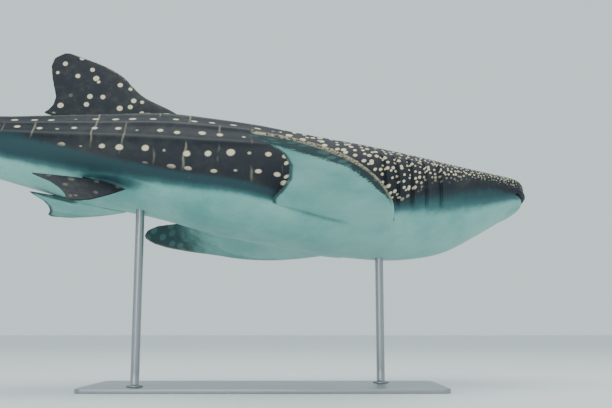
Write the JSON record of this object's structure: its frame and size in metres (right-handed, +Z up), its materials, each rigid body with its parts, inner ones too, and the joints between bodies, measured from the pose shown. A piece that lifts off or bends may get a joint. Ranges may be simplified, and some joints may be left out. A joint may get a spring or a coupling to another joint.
{
  "type": "whale shark",
  "caption": "Life-size museum model of a swimming whale shark, banking and bending, held by a plain steel display stand.",
  "frame": {"origin": "centre of the underside of the stand's base plate, on the floor", "axes": "+X towards the shark's head along the base plate, +Y towards the shark's left side, +Z up"},
  "size_m": [6.1922, 2.7045, 3.2543],
  "materials": {
    "skin_head": "satin",
    "skin_body": "satin",
    "skin_fin": "satin",
    "skin_back_fin": "satin",
    "eye": "gloss",
    "stand_steel": "brushed"
  },
  "bodies": {
    "root": {"head": "skin_head", "gill_region": "skin_body", "trunk": "skin_body", "tail_stalk": "skin_body", "eye_left": "eye", "eye_right": "eye", "pectoral_fin_right": "skin_fin", "pectoral_fin_left": "skin_fin", "pelvic_fin_right": "skin_fin", "pelvic_fin_left": "skin_fin", "first_dorsal_fin": "skin_back_fin", "second_dorsal_fin": "skin_back_fin", "anal_fin": "skin_fin", "caudal_fin_upper": "skin_back_fin", "caudal_fin_lower": "skin_back_fin", "stand_base": "stand_steel", "stand_rod_front": "stand_steel", "stand_rod_rear": "stand_steel"}
  },
  "joints": []
}
